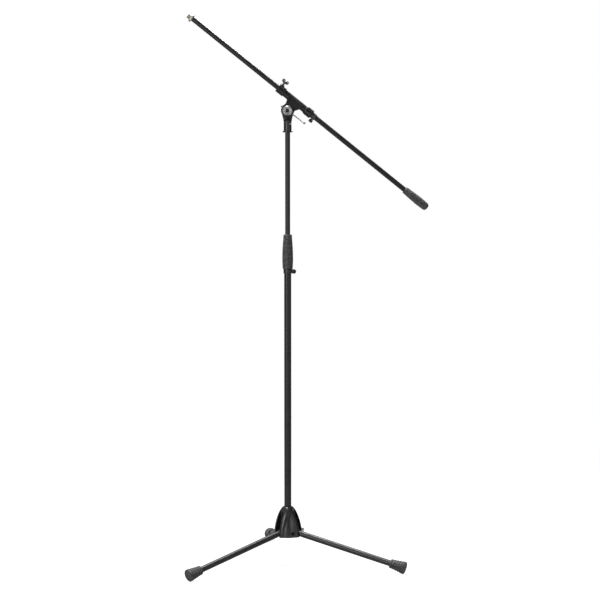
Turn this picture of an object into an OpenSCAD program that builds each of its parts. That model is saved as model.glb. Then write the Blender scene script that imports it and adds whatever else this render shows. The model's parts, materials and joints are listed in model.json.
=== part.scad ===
// Boom microphone stand: three folding legs, a telescopic post and a tilting, sliding boom.
// Frame: origin on the floor under the post's axis, +X to the boom's tail, +Z up, millimetres.

/* [Base] */
// Height of the hub's lower edge above the floor
hub_z = 83; // [82:0.5:84]
// Height of the hub casting
hub_h = 84; // [80:1:90]
// Radius of the hub's lower edge between the legs
hub_r = 37; // [36:0.5:38]
// Radius of the hub's lower edge at the legs
hub_lobe_r = 40.5; // [40:0.5:42]
// Radius of the hub's top
hub_top_r = 12.8; // [12.6:0.1:13]

/* [Legs] */
// Outer radius of a leg tube
leg_r = 8.5; // [8:0.1:8.6]
// Length from the post's axis to a foot's outer end, along the leg
leg_len = 360; // [340:5:380]
// Droop of an open leg below horizontal, degrees
leg_drop = 13.5; // [12.5:0.5:14]
// Radius of the leg pivots from the post's axis
pivot_r = 26.5; // [26.5:0.1:27]
// Direction of the first leg, degrees anticlockwise from +X
first_leg = -141; // [-145:1:-137]
// Length of a rubber foot
foot_len = 44; // [40:1:48]
// Radius of a foot at its outer end
foot_r = 17.5; // [17:0.5:18]

/* [Post] */
// Outer radius of the lower tube
low_r = 10; // [10:0.1:10]
// Height of the lower tube's upper end
low_top = 872; // [868:1:876]
// Outer radius of the upper tube
up_r = 7; // [7:0.1:7]
// Height of the upper tube's lower end
up_bottom = 500; // [480:5:520]
// Wall of the steel tubes
wall = 1.2; // [1:0.1:1.3]

/* [Clutch] */
// Height of the clutch collar's lower face
collar_z = 830; // [828:1:832]
// Height of the clutch grip's lower end
grip_z = 843; // [843:0.5:844]
// Length of the clutch grip
grip_len = 96; // [94:1:98]
// Largest radius of the clutch grip
grip_r = 15.5; // [15.3:0.1:15.7]
// Direction of the collar's knob, degrees anticlockwise from +X
knob_dir = -50; // [-60:5:-40]

/* [Head] */
// Height of the boom's tilt axis
pivot_z = 1285; // [1280:1:1290]
// Radius of the socket on the upper tube
socket_r = 11; // [10.5:0.5:11.5]
// Radius of the bracket's pivot discs
disc_r = 18.5; // [18:0.5:19]
// Radius of the chrome pivot cap
cap_r = 14.6; // [14:0.2:15]
// Direction of the tommy bar below horizontal, degrees
bar_angle = 37; // [30:1:45]

/* [Boom] */
// Tilt of the boom below horizontal at its tail, degrees
boom_tilt = 38.8; // [30:0.1:45]
// Tilt travel, tail down, degrees
tilt_down = 45; // [30:5:45]
// Tilt travel, tail up, degrees
tilt_up = 122; // [90:2:122]
// Distance from the tilt axis to the boom's axis
boom_off = 32.5; // [32.5:0.5:34]
// Outer radius of the boom tube
boom_r = 7; // [7:0.1:7]
// Distance from the tilt axis to the tube's tip end, along the boom
boom_front = 364; // [355:1:370]
// Distance from the tilt axis to the start of the counterweight grip
weight_start = 393; // [385:1:400]
// Length of the counterweight grip
weight_len = 81; // [78:1:84]
// Largest radius of the counterweight grip
weight_r = 12.5; // [12.3:0.1:12.7]

/* [Fits] */
// Radial clearance of turning and sliding fits
run = 0.08; // [0.05:0.01:0.1]

/* [Hidden] */
$fn = 72;
eps = 0.01;

// Heights and lengths that follow from the driving dimensions.
apex_z = leg_len * sin(leg_drop) + foot_r * cos(leg_drop);
hub_top = hub_z + hub_h;
pin_z = apex_z - pivot_r * tan(leg_drop);
pin_along = pivot_r / cos(leg_drop);
tube_start = pin_along + 11;
tube_end = leg_len - 6;
tube_tail = weight_start + 37;
leg_dirs = [first_leg, first_leg + 120, first_leg + 240];

// Hub: wall lobes at the legs, slots that the legs fold up through, and the web under the post.
lobe_w = 38;
slot_half = leg_r + 0.7;
slot_in = pivot_r - leg_r - 0.9;
web_z = hub_z + 9;
web_t = 12;
top_ring_r = 11.8;
top_ring_h = 6.5;
seat_h = 5;

// Leg pivot bolts: M5, with the head in a recess and the thread in the far cheek.
bolt_r = 2.5;
bolt_head_r = 4.2;
bolt_head_t = 20;
bolt_head_len = 5;
bolt_end = 20;
bolt_key_r = 2.4;

// Base bolt: M8.
base_bolt_r = 4;
base_bolt_grip = 22;
base_head_r = 7.4;
base_head_h = 5.4;
washer_r = 8;
washer_h = 1.6;
plug_len = 26;

// Lock ring under the hub, and the screw that presses it.
ring_in = 12.8;
ring_out = slot_in - 0.2;
ring_h = 15;
ring_groove = 22;
lock_dir = first_leg + 180;
lock_z = hub_z + 11;
lock_r = 3;
lock_reach = 56;
lock_head_r = 6;
lock_head_len = 10;
lock_neck_r = 4.6;
lock_neck_len = 5;

// Feet: ribs step out along the boot.
foot_ribs = 5;
foot_neck = 11.5;
rib_step = 1.2;

// Collar under the clutch, and its knob.
collar_r = 12;
collar_h = 12.4;
boss_r = 5;
boss_reach = 15;
stud_r = 2;
stud_reach = 24;
knob_z = collar_z + 7;
knob_r = 6.2;
knob_reach = 31;

// Clutch stack.
body_r = 10.9;
nut_out = 11.6;
nut_lip = 5;
collet_z = 885;
cone_z = 916;
cone_h = 15;
slit_w = 1.2;

// Barrel outline of the clutch grip, as radius over height from its lower end.
grip_outline = [[13.8, 0], [14.3, 2], [14.9, 11], [grip_r, 25], [15.3, 40], [15, 51], [14.3, 64], [13.6, 74],
    [12.8, 84], [12.2, 91], [11.6, 95], [10.8, grip_len]];

// Inner end of the upper tube.
guide_len = 25;
snap_r = up_r + 1.2;
snap_t = 1.7;
plug_h = 16;

// Socket on the upper tube, with its set screw.
tube_top = pivot_z - 33;
stop_z = pivot_z - 61;
stop_r = 14;
stop_h = 4;
cone_top_h = 8;
screw_dir = -45;
set_r = 2.5;
set_head_r = 3.6;
set_seat = socket_r - 0.4;
set_reach = socket_r + 1.6;

// Fork and tongue of the tilt joint.
tongue_half = 5;
tongue_r = 17.5;
tongue_root = 30;
washer_t = 1.3;
fibre_r = 14;
ear_in = tongue_half + washer_t + 0.1;
ear_out = ear_in + 5;
fork_gap = 0.8;
screw_r = 4;
hex_r = 8.5;
hex_h = 6;

// Pivot cap and its sliding bar.
cap_y = -(ear_out + 0.3);
cap_len = 12;
cap_rim = 2.4;
cap_taper = 3.6;
cap_dimple = 1.6;
bar_y = cap_y - 6.6;
bar_r = 1.7;
bar_short = 19.6;
bar_long = 58;
ball_r = 3.4;

// Sleeve stack along the boom, measured from the foot of the perpendicular to the tilt axis.
sleeve_a = -36.5;
sleeve_b = 35.5;
collar_a = -61;
collar_b = 60;
ring_b = 73.5;
sleeve_r = 10;
sleeve_bore = 8.6;
front_r = 12.2;
rear_r = 12.6;
ring_r = 8.9;
liner_slit = 1.5;

// Wing screw on the front collar.
wing_s = -54.5;
wing_boss_r = 6;
wing_boss_n = 15;
wing_stem_r = 2.5;
wing_neck_r = 3.6;
wing_neck_n = 17;
wing_lobe_r = 5.2;
wing_lobe_s = 5.7;
wing_lobe_n = 25.6;
wing_t = 3.2;
pad_r = 2.4;
pad_t = 1.5;

// Knob under the end ring.
rear_s = 68;
rear_stud_r = 1.8;
rear_knob_r = 5.6;
rear_knob_in = -9.3;
rear_knob_out = -19.2;

// Tip: a flanged adaptor with a 5/8 inch thread, screwed on a 3/8 inch stud.
thread_r = 7.94;
thread_len = 9;
flange_r = 12;
flange_t = 6.5;
stud_38_r = 4.7;
tip_face = -boom_front - flange_t;

// Outline of the counterweight grip, as radius over distance from its start.
weight_outline = [[9.4, 0], [10.2, 3], [11, 14], [11.7, 27], [12.1, 37], [weight_r, 47], [12.4, 57],
    [11.9, 67], [11.3, 74], [9.2, 78.5], [6, weight_len]];
core_r = 9;
core_end = weight_len - 8;

// --- helpers ---

// A straight tube or bushing from height z0 to z1.
module ring(r_out, r_in, z0, z1) {
    translate([0, 0, z0]) difference() {
        cylinder(r = r_out, h = z1 - z0);
        translate([0, 0, -1]) cylinder(r = r_in, h = z1 - z0 + 2);
    }
}

// A solid disc or rod from height z0 to z1.
module rod(r, z0, z1) {
    translate([0, 0, z0]) cylinder(r = r, h = z1 - z0);
}

// Turns a shape built along +Z so that it points along +X.
module along_x() {
    rotate([0, 90, 0]) children();
}

// Places a shape in the frame of an open leg: +X outward along the leg, origin on the post's axis.
module on_leg(dir) {
    rotate([0, 0, dir]) translate([0, 0, apex_z]) rotate([0, leg_drop, 0]) children();
}

// Places a shape, built along +Z, on the pivot pin of a leg.
module on_pin(dir) {
    rotate([0, 0, dir]) translate([pivot_r, 0, pin_z]) rotate([-90, 0, 0]) children();
}

// Places a shape in the boom's frame: +X to the tail, +Z away from the tilt axis.
module on_boom() {
    translate([0, 0, pivot_z]) rotate([0, boom_tilt, 0]) translate([0, 0, boom_off]) children();
}

// Places a shape on the tilt axis, built along +Z, which becomes -Y.
module on_pivot() {
    translate([0, 0, pivot_z]) rotate([90, 0, 0]) children();
}

// --- base ---

// Outline of the hub's bell: steep at the foot, curving in to the tube.
function bell(base_r, top_r) = [for (i = [0:14]) let (t = i / 14)
    [top_r + (base_r - top_r) * pow(1 - pow(t, 1.9), 0.72), hub_h * t]];

module bell_solid(base_r, top_r) {
    translate([0, 0, hub_z]) rotate_extrude() polygon(concat([[0, 0]], bell(base_r, top_r), [[0, hub_h]]));
}

module hub_housing() color([0.07, 0.07, 0.07]) {
    difference() {
        union() {
            bell_solid(hub_r, hub_top_r);
            intersection() {
                bell_solid(hub_lobe_r, hub_top_r - 1.5);
                for (a = leg_dirs) rotate([0, 0, a]) translate([0, -lobe_w / 2, hub_z - 1])
                    cube([60, lobe_w, hub_h]);
            }
        }
        for (a = leg_dirs) {
            rotate([0, 0, a]) translate([slot_in, -slot_half, hub_z - 1])
                cube([60, 2 * slot_half, hub_h + 2]);
            on_pin(a) rod(bolt_r, -40, bolt_end + 0.3);
            on_pin(a) rod(bolt_head_r + 0.2, -40, bolt_head_len - bolt_head_t);
        }
        rod(low_r, web_z + web_t, hub_top + 1);
        rod(base_bolt_r + 0.2, hub_z - 1, web_z + web_t + 1);
        rod(washer_r + 0.3, hub_z - 1, web_z);
        rod(top_ring_r, hub_top - seat_h, hub_top + 1);
        ring(slot_in + 1, ring_in - 0.2, hub_z - 1, hub_z + ring_groove);
        on_lock() rod(lock_r + run, ring_out - 1, 60);
    }
}

module hub_top_ring() color([0.1, 0.1, 0.1]) {
    ring(top_ring_r, low_r, hub_top - seat_h, hub_top - seat_h + top_ring_h);
}

module leg_lock_ring() color("silver") {
    ring(ring_out, ring_in, hub_z + 4, hub_z + 4 + ring_h);
}

module tube_plug() color("silver") {
    ring(low_r - wall, base_bolt_r, web_z + web_t, web_z + web_t + plug_len);
}

module base_bolt() color("silver") {
    rod(base_bolt_r, web_z - washer_h, web_z + web_t + base_bolt_grip);
    translate([0, 0, web_z - washer_h - base_head_h]) cylinder(r = base_head_r, h = base_head_h, $fn = 6);
}

module base_washer() color("silver") {
    ring(washer_r, base_bolt_r, web_z - washer_h, web_z);
}

module leg_pivot_bolts() color([0.15, 0.15, 0.15]) {
    for (a = leg_dirs) on_pin(a) difference() {
        union() {
            rod(bolt_r, -bolt_head_t, bolt_end);
            rod(bolt_head_r, -bolt_head_t, bolt_head_len - bolt_head_t);
        }
        translate([0, 0, -bolt_head_t - 1]) cylinder(r = bolt_key_r, h = 4, $fn = 6);
    }
}

// --- legs ---

// An eye that turns on the pivot bolt, with a stub that fills the tube's inner end.
module leg_knuckle(dir) color([0.12, 0.12, 0.12]) {
    difference() {
        union() {
            on_pin(dir) rod(leg_r - 0.2, -leg_r, leg_r);
            on_leg(dir) along_x() rod(leg_r - wall, pin_along, tube_start + 28);
        }
        on_pin(dir) rod(bolt_r + run, -leg_r - 1, leg_r + 1);
    }
}

module leg_tube(dir) color([0.09, 0.09, 0.09]) {
    on_leg(dir) along_x() ring(leg_r, leg_r - wall, tube_start, tube_end);
}

// Radius of the boot at the foot of rib i, before its step.
function foot_edge(i) = foot_neck + (foot_r - 1.4 - foot_neck) * pow(i / foot_ribs, 1.2);

// Flared boot: ribs step out along it, and its outer end stands on the floor.
module foot(dir) color([0.13, 0.13, 0.13]) {
    pitch = (foot_len - 6) / foot_ribs;
    socket_end = foot_len - leg_len + tube_end;
    ribs = [for (i = [0:foot_ribs - 1]) each [
        [foot_edge(i), i * pitch],
        [foot_edge(i) + rib_step, i * pitch + 0.8],
        [foot_edge(i + 1) + rib_step, (i + 1) * pitch - 2.4],
        [foot_edge(i + 1) - 0.3, (i + 1) * pitch - 1.6]]];
    tread = [[foot_r, foot_len - 6.6], [foot_r, foot_len - 1.2], [foot_r - 1.2, foot_len],
        [0, foot_len]];
    on_leg(dir) translate([leg_len - foot_len, 0, 0]) along_x() rotate_extrude()
        polygon(concat([[leg_r, 0]], ribs, tread, [[0, socket_end], [leg_r, socket_end]]));
}

// --- base lock ---

// Places a shape, built along +Z, on the axis of the base lock.
module on_lock() {
    rotate([0, 0, lock_dir]) translate([0, 0, lock_z]) along_x() children();
}

module lock_screw() color("silver") {
    on_lock() rod(lock_r, ring_out + 0.3, lock_reach - 6);
}

module lock_knob() color("silver") {
    on_lock() difference() {
        union() {
            rod(lock_neck_r, lock_reach - lock_head_len - lock_neck_len, lock_reach - lock_head_len);
            rod(lock_head_r, lock_reach - lock_head_len, lock_reach);
        }
        rod(lock_r, 40, lock_reach - 6);
    }
}

// --- post ---

module lower_tube() color([0.09, 0.09, 0.09]) {
    ring(low_r, low_r - wall, web_z + web_t, low_top);
}

// Places a shape, built along +Z, on the axis of the collar's knob.
module on_knob() {
    rotate([0, 0, knob_dir]) translate([0, 0, knob_z]) along_x() children();
}

module clutch_collar() color([0.1, 0.1, 0.1]) {
    difference() {
        union() {
            rod(collar_r, collar_z, collar_z + collar_h);
            on_knob() rod(boss_r, 8, boss_reach);
        }
        rod(low_r, collar_z - 1, collar_z + collar_h + 1);
        on_knob() rod(stud_r + run, 0, boss_reach + 1);
    }
}

module collar_stud() color("silver") {
    on_knob() rod(stud_r, low_r + 0.3, stud_reach);
}

module collar_knob() color([0.06, 0.06, 0.06]) {
    on_knob() difference() {
        rod(knob_r, boss_reach + 0.3, knob_reach);
        rod(stud_r, boss_reach, stud_reach);
    }
}

module clutch_body() color([0.2, 0.2, 0.2]) {
    difference() {
        rod(body_r, collar_z + collar_h, cone_z - 1);
        rod(low_r, collar_z, low_top);
        rod(low_r - wall + 0.1, low_top - 1, cone_z);
    }
}

module clutch_collet() color([0.85, 0.85, 0.8]) {
    difference() {
        union() {
            rod(low_r - wall + 0.1, collet_z, cone_z);
            translate([0, 0, cone_z]) cylinder(r1 = body_r - 0.7, r2 = body_r - 1.7, h = cone_h);
        }
        rod(up_r + run, collet_z - 1, cone_z + cone_h + 1);
        for (a = [45, 135]) rotate([0, 0, a]) translate([-20, -slit_w / 2, collet_z + 12])
            cube([40, slit_w, 60]);
    }
}

module clutch_nut() color([0.12, 0.12, 0.12]) {
    difference() {
        rod(nut_out, grip_z, cone_z + cone_h + nut_lip);
        rod(body_r + 0.1, grip_z - 1, cone_z);
        translate([0, 0, cone_z - eps]) cylinder(r1 = body_r - 0.5, r2 = body_r - 1.5, h = cone_h + 0.2);
        rod(up_r + 0.5, cone_z, cone_z + cone_h + nut_lip + 1);
    }
}

module clutch_grip() color([0.16, 0.16, 0.16]) {
    translate([0, 0, grip_z]) difference() {
        rotate_extrude() polygon(concat([[0, 0]], grip_outline, [[0, grip_len]]));
        rod(nut_out, -1, cone_z + cone_h + nut_lip - grip_z);
        rod(up_r + 0.5, 0, grip_len + 1);
    }
}

module guide_bush() color([0.85, 0.85, 0.8]) {
    ring(low_r - wall - run, up_r + run, up_bottom + 0.3, up_bottom + guide_len);
}

module snap_ring() color("silver") {
    ring(snap_r, up_r, up_bottom + guide_len + 0.3, up_bottom + guide_len + 0.3 + snap_t);
}

module end_plug() color([0.1, 0.1, 0.1]) {
    rod(snap_r, up_bottom - 4, up_bottom);
    rod(up_r - wall, up_bottom - 1, up_bottom + plug_h);
}

module upper_tube() color([0.09, 0.09, 0.09]) {
    ring(up_r, up_r - wall, up_bottom, tube_top);
}

// --- head ---

module stop_ring() color([0.1, 0.1, 0.1]) {
    ring(stop_r, up_r, stop_z, stop_z + stop_h);
}

// Side outline of the socket's tongue: a disc with straight tangents down to the socket, grown by extra.
module tongue_outline(extra) {
    r = tongue_r + extra;
    w = socket_r + extra;
    a = atan2(-tongue_root, w) + acos(r / norm([w, tongue_root]));
    circle(r = r);
    polygon([[-w, -tongue_root], [w, -tongue_root], [r * cos(a), r * sin(a)], [-r * cos(a), r * sin(a)]]);
}

module mast_socket() color([0.08, 0.08, 0.08]) {
    shoulder = pivot_z - tongue_root + 1;
    difference() {
        union() {
            rod(socket_r, stop_z + stop_h, shoulder);
            translate([0, 0, shoulder]) cylinder(r1 = socket_r, r2 = socket_r - 4, h = cone_top_h);
            on_pivot() translate([0, 0, -tongue_half]) linear_extrude(2 * tongue_half) tongue_outline(0);
        }
        rod(up_r, stop_z, tube_top);
        on_pivot() rod(screw_r + run, -20, 20);
        on_set_screw() rod(set_r + run, 0, 20);
        on_set_screw() rod(set_head_r + 0.3, set_seat, 20);
    }
}

// Places a shape, built along +Z, on the axis of the socket's set screw.
module on_set_screw() {
    rotate([0, 0, screw_dir]) translate([0, 0, stop_z + 24]) along_x() children();
}

module socket_screw() color("silver") {
    on_set_screw() rod(set_r, up_r, set_seat + 0.5);
    on_set_screw() rod(set_head_r, set_seat, set_reach);
}

module friction_washers() color([0.55, 0.4, 0.25]) {
    for (side = [-1, 1]) {
        on_pivot() translate([0, 0, side * (tongue_half + washer_t / 2) - washer_t / 2])
            ring(fibre_r, screw_r + run, 0, washer_t);
    }
}

// Chrome cap, shank and the cross hole for the tommy bar.
module pivot_screw() color([0.8, 0.8, 0.82]) {
    difference() {
        on_pivot() {
            rod(screw_r, -ear_out - hex_h - 1, -cap_y + 1);
            rod(cap_r, -cap_y, -cap_y + cap_rim);
            translate([0, 0, -cap_y + cap_rim])
                cylinder(r1 = cap_r, r2 = cap_r - cap_taper, h = cap_len - cap_rim);
        }
        on_pivot() rod(4, -cap_y + cap_len - cap_dimple, -cap_y + cap_len + 1);
        on_bar() rod(bar_r + run, -40, 40);
    }
}

// Places a shape, built along +Z, on the tommy bar's axis, +Z down towards the bar's free end.
module on_bar() {
    translate([0, bar_y, pivot_z]) rotate([0, 90 + bar_angle, 0]) children();
}

module tommy_bar() color([0.8, 0.8, 0.82]) {
    on_bar() {
        rod(bar_r, -bar_short, bar_long);
        translate([0, 0, -bar_short]) sphere(r = ball_r);
        translate([0, 0, bar_long]) sphere(r = ball_r);
    }
}

module pivot_nut() color("silver") {
    on_pivot() difference() {
        translate([0, 0, -ear_out - hex_h]) cylinder(r = hex_r, h = hex_h, $fn = 6);
        rod(screw_r + run, -ear_out - hex_h - 2, 0);
    }
}

// --- boom bracket and sleeve ---

// Side outline of the bracket in the boom's frame: pivot disc and the neck that runs up to the sleeve.
module bracket_outline() {
    translate([0, boom_off]) circle(r = disc_r);
    polygon([[-21, 4], [24, 4], [24, 10], [15.5, 22.5], [14, boom_off], [-14, boom_off], [-15.5, 22.5],
        [-21, 10]]);
}

module boom_bracket() color([0.08, 0.08, 0.08]) on_boom() {
    difference() {
        union() {
            along_x() rod(sleeve_r, sleeve_a, sleeve_b);
            rotate([-90, 0, 0]) translate([0, 0, -ear_out]) linear_extrude(2 * ear_out) bracket_outline();
        }
        along_x() rod(sleeve_bore, sleeve_a - 1, sleeve_b + 1);
        for (q = [-tilt_up, tilt_down]) {
            translate([0, ear_in, -boom_off]) rotate([90, 0, 0]) linear_extrude(2 * ear_in)
                rotate(boom_tilt + q) tongue_outline(fork_gap);
        }
        translate([-40, -ear_in, -boom_off - 40]) cube([80, 2 * ear_in, 40]);
        translate([0, 0, -boom_off]) rotate([90, 0, 0]) rod(screw_r + run, -20, 20);
    }
}

// Places a shape, built along +Z, on the wing screw's axis, heights measured from the boom's axis.
module on_wing() {
    on_boom() translate([wing_s, 0, 0]) children();
}

module front_collar() color([0.09, 0.09, 0.09]) {
    difference() {
        union() {
            on_boom() along_x() rod(front_r, collar_a, sleeve_a);
            on_wing() rod(wing_boss_r, 5, wing_boss_n);
        }
        on_boom() along_x() rod(sleeve_bore, collar_a - 1, sleeve_a + 1);
        on_wing() rod(wing_stem_r + run, 0, 20);
    }
}

module clamp_pad() color([0.75, 0.6, 0.3]) {
    on_wing() rod(pad_r, sleeve_bore + 0.1, sleeve_bore + 0.1 + pad_t);
}

// A thumb screw with two lobes that stand in line with the boom.
module wing_screw() color([0.4, 0.4, 0.42]) on_wing() {
    rod(wing_stem_r, sleeve_bore + 0.3 + pad_t, 20);
    rod(wing_neck_r, wing_neck_n, wing_lobe_n - 1);
    for (side = [-1, 1]) {
        translate([side * wing_lobe_s, wing_t / 2, wing_lobe_n]) rotate([90, 0, 0])
            cylinder(r = wing_lobe_r, h = wing_t);
    }
}

module rear_collar() color([0.08, 0.08, 0.08]) {
    on_boom() along_x() ring(rear_r, sleeve_bore, sleeve_b, collar_b);
}

module end_ring() color([0.3, 0.3, 0.3]) on_boom() {
    difference() {
        along_x() ring(ring_r, boom_r + 0.2, collar_b, ring_b);
        translate([rear_s, 0, 0]) rod(rear_stud_r + run, -20, 0);
    }
}

module rear_stud() color("silver") on_boom() {
    translate([rear_s, 0, 0]) rod(rear_stud_r, rear_knob_out + 4, -boom_r - 0.4);
}

module rear_knob() color([0.06, 0.06, 0.06]) on_boom() {
    difference() {
        translate([rear_s, 0, 0]) rod(rear_knob_r, rear_knob_out, rear_knob_in);
        translate([rear_s, 0, 0]) rod(rear_stud_r, rear_knob_out + 4, 0);
    }
}

// A nylon tube, slit along its underside so that the wing screw can squeeze it.
module sleeve_liner() color([0.85, 0.85, 0.8]) on_boom() {
    difference() {
        along_x() ring(sleeve_bore - run, boom_r + run, collar_a + 0.3, collar_b - 0.3);
        translate([collar_a - 5, -liner_slit / 2, -20]) cube([collar_b - collar_a + 10, liner_slit, 20]);
    }
}

// --- boom ---

module boom_tube() color([0.08, 0.08, 0.08]) on_boom() {
    along_x() ring(boom_r, boom_r - wall, -boom_front, tube_tail);
}

// Brass plug in the tube's end, with the stud that carries the adaptor.
module tip_plug() color([0.75, 0.6, 0.3]) on_boom() along_x() {
    rod(boom_r - wall, -boom_front, 20 - boom_front);
    rod(stud_38_r, tip_face - thread_len + 1, -boom_front);
}

module thread_adaptor() color([0.75, 0.75, 0.72]) on_boom() along_x() {
    difference() {
        union() {
            rod(flange_r, tip_face, -boom_front);
            rod(thread_r, tip_face - thread_len + 0.8, tip_face);
            translate([0, 0, tip_face - thread_len]) cylinder(r1 = thread_r - 0.8, r2 = thread_r, h = 0.8);
        }
        rod(stud_38_r, tip_face - thread_len - 1, 1 - boom_front);
    }
}

module counterweight_core() color("silver") on_boom() along_x() {
    rod(boom_r - wall, weight_start + 2, tube_tail);
    rod(core_r, tube_tail, weight_start + core_end);
}

module counterweight_grip() color([0.17, 0.17, 0.17]) on_boom() along_x() translate([0, 0, weight_start]) {
    difference() {
        rotate_extrude() polygon(concat([[0, 0]], weight_outline, [[0, weight_len]]));
        rod(boom_r, -1, tube_tail - weight_start);
        rod(core_r, tube_tail - weight_start, core_end);
    }
}

hub_housing();
hub_top_ring();
leg_lock_ring();
tube_plug();
base_bolt();
base_washer();
leg_pivot_bolts();
leg_knuckle(leg_dirs[0]);  // leg_knuckle_1
leg_knuckle(leg_dirs[1]);  // leg_knuckle_2
leg_knuckle(leg_dirs[2]);  // leg_knuckle_3
leg_tube(leg_dirs[0]);  // leg_tube_1
leg_tube(leg_dirs[1]);  // leg_tube_2
leg_tube(leg_dirs[2]);  // leg_tube_3
foot(leg_dirs[0]);  // foot_1
foot(leg_dirs[1]);  // foot_2
foot(leg_dirs[2]);  // foot_3
lock_screw();
lock_knob();
lower_tube();
clutch_collar();
collar_stud();
collar_knob();
clutch_body();
clutch_collet();
clutch_nut();
clutch_grip();
guide_bush();
snap_ring();
end_plug();
upper_tube();
stop_ring();
mast_socket();
socket_screw();
friction_washers();
pivot_screw();
tommy_bar();
pivot_nut();
boom_bracket();
front_collar();
clamp_pad();
wing_screw();
rear_collar();
end_ring();
rear_stud();
rear_knob();
sleeve_liner();
boom_tube();
tip_plug();
thread_adaptor();
counterweight_core();
counterweight_grip();
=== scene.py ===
"""Boom microphone stand: the looks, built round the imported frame.

Lengths in the shape code are millimetres in each part's own frame. They go to metres when a mesh
is made. Each shape takes its ends from its CAD node, and its own profile in between.
"""
import json
import math

import bpy
import numpy as np
from mathutils import Matrix, Vector


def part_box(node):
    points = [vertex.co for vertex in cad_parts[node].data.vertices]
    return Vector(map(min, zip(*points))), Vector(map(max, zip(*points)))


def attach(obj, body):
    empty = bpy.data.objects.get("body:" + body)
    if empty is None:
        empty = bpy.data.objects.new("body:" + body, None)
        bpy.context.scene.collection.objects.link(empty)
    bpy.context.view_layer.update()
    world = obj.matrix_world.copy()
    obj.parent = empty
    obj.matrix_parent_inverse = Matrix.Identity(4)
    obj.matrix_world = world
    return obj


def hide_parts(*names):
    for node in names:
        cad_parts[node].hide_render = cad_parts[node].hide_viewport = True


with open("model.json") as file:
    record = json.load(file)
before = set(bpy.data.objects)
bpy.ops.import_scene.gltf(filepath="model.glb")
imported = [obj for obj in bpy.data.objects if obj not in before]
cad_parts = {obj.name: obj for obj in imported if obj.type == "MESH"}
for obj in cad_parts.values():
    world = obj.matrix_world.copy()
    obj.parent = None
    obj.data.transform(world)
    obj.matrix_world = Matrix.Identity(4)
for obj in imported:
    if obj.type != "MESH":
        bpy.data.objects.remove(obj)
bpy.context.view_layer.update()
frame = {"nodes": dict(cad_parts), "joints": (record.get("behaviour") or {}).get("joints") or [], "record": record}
NODES = frame["nodes"]
JOINTS = {j["name"]: j for j in frame["joints"]}
MM = 0.001


# ---------------------------------------------------------------- frames

def axes_frame(origin, x_dir, z_dir):
    """A 4x4 matrix with that origin in metres, x along x_dir and z near z_dir."""
    x = Vector(x_dir).normalized()
    y = Vector(z_dir).cross(x).normalized()
    z = x.cross(y)
    m = Matrix((x, y, z)).transposed().to_4x4()
    m.translation = Vector(origin)
    return m


def joint_at(name):
    return Vector(JOINTS[name]["pos_m"])


def joint_axis(name):
    return Vector(JOINTS[name]["axis"]).normalized()


def radius_of(node, axis="x"):
    """Half the width of a node that is round about an axis of the row frame, in millimetres."""
    low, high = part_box(node)
    return (getattr(high, axis) - getattr(low, axis)) / 2 / MM


POST = Matrix.Identity(4)
PIVOT = joint_at("boom_tilt")
ROLL = joint_at("boom_roll")
BOOM = axes_frame(ROLL, joint_axis("boom_slide"), ROLL - PIVOT)
BOOM_OFF = (ROLL - PIVOT).length / MM
LEGS = (1, 2, 3)
LEG_DIR = {i: math.atan2(joint_at(f"leg_{i}_fold").y, joint_at(f"leg_{i}_fold").x) for i in LEGS}
LEG_PIN = joint_at("leg_1_fold")
LEG_DROP = math.radians(13.5)  # how far an open leg slopes below level
LEG_R = 8.5
POST_R = radius_of("lower_tube")
MAST_R = radius_of("upper_tube")
BOOM_R = MAST_R


def leg_frame(i):
    """x outward along an open leg, origin on its pin."""
    a, level = LEG_DIR[i], math.cos(LEG_DROP)
    out = Vector((math.cos(a) * level, math.sin(a) * level, -math.sin(LEG_DROP)))
    return axes_frame(joint_at(f"leg_{i}_fold"), out, (0, 0, 1))


def turned_frame(origin, direction):
    """z along direction, for a lathed piece."""
    z = Vector(direction).normalized()
    side = Vector((0, 0, 1)) if abs(z.z) < 0.9 else Vector((1, 0, 0))
    return axes_frame(origin, side - z * side.dot(z), z)


def along(node, m, axis):
    """Lowest and highest reach of a CAD node along one axis of the frame m, in millimetres."""
    inv = m.inverted()
    values = [(inv @ v.co)[axis] / MM for v in NODES[node].data.vertices]
    return min(values), max(values)


# ---------------------------------------------------------------- meshes

def new_mesh(name, points, faces, m):
    """A smooth object from points in millimetres in the frame m."""
    co = np.asarray(points, float) * MM
    world = co @ np.array(m.to_3x3()).T + np.array(m.translation)
    mesh = bpy.data.meshes.new(name)
    mesh.from_pydata(world.tolist(), [], faces)
    mesh.validate()
    mesh.shade_smooth()
    obj = bpy.data.objects.new(name, mesh)
    bpy.context.scene.collection.objects.link(obj)
    return obj


ARC_STEPS = 4
NEARLY_STRAIGHT = math.radians(87)  # half the angle at a corner that is left as it is
ARC_SHARE, SUPPORT_SHARE = 0.42, 0.48  # the most of an edge that an arc and its support point use
SUPPORT = 1.6  # a support point's distance from the corner, against the arc's


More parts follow.
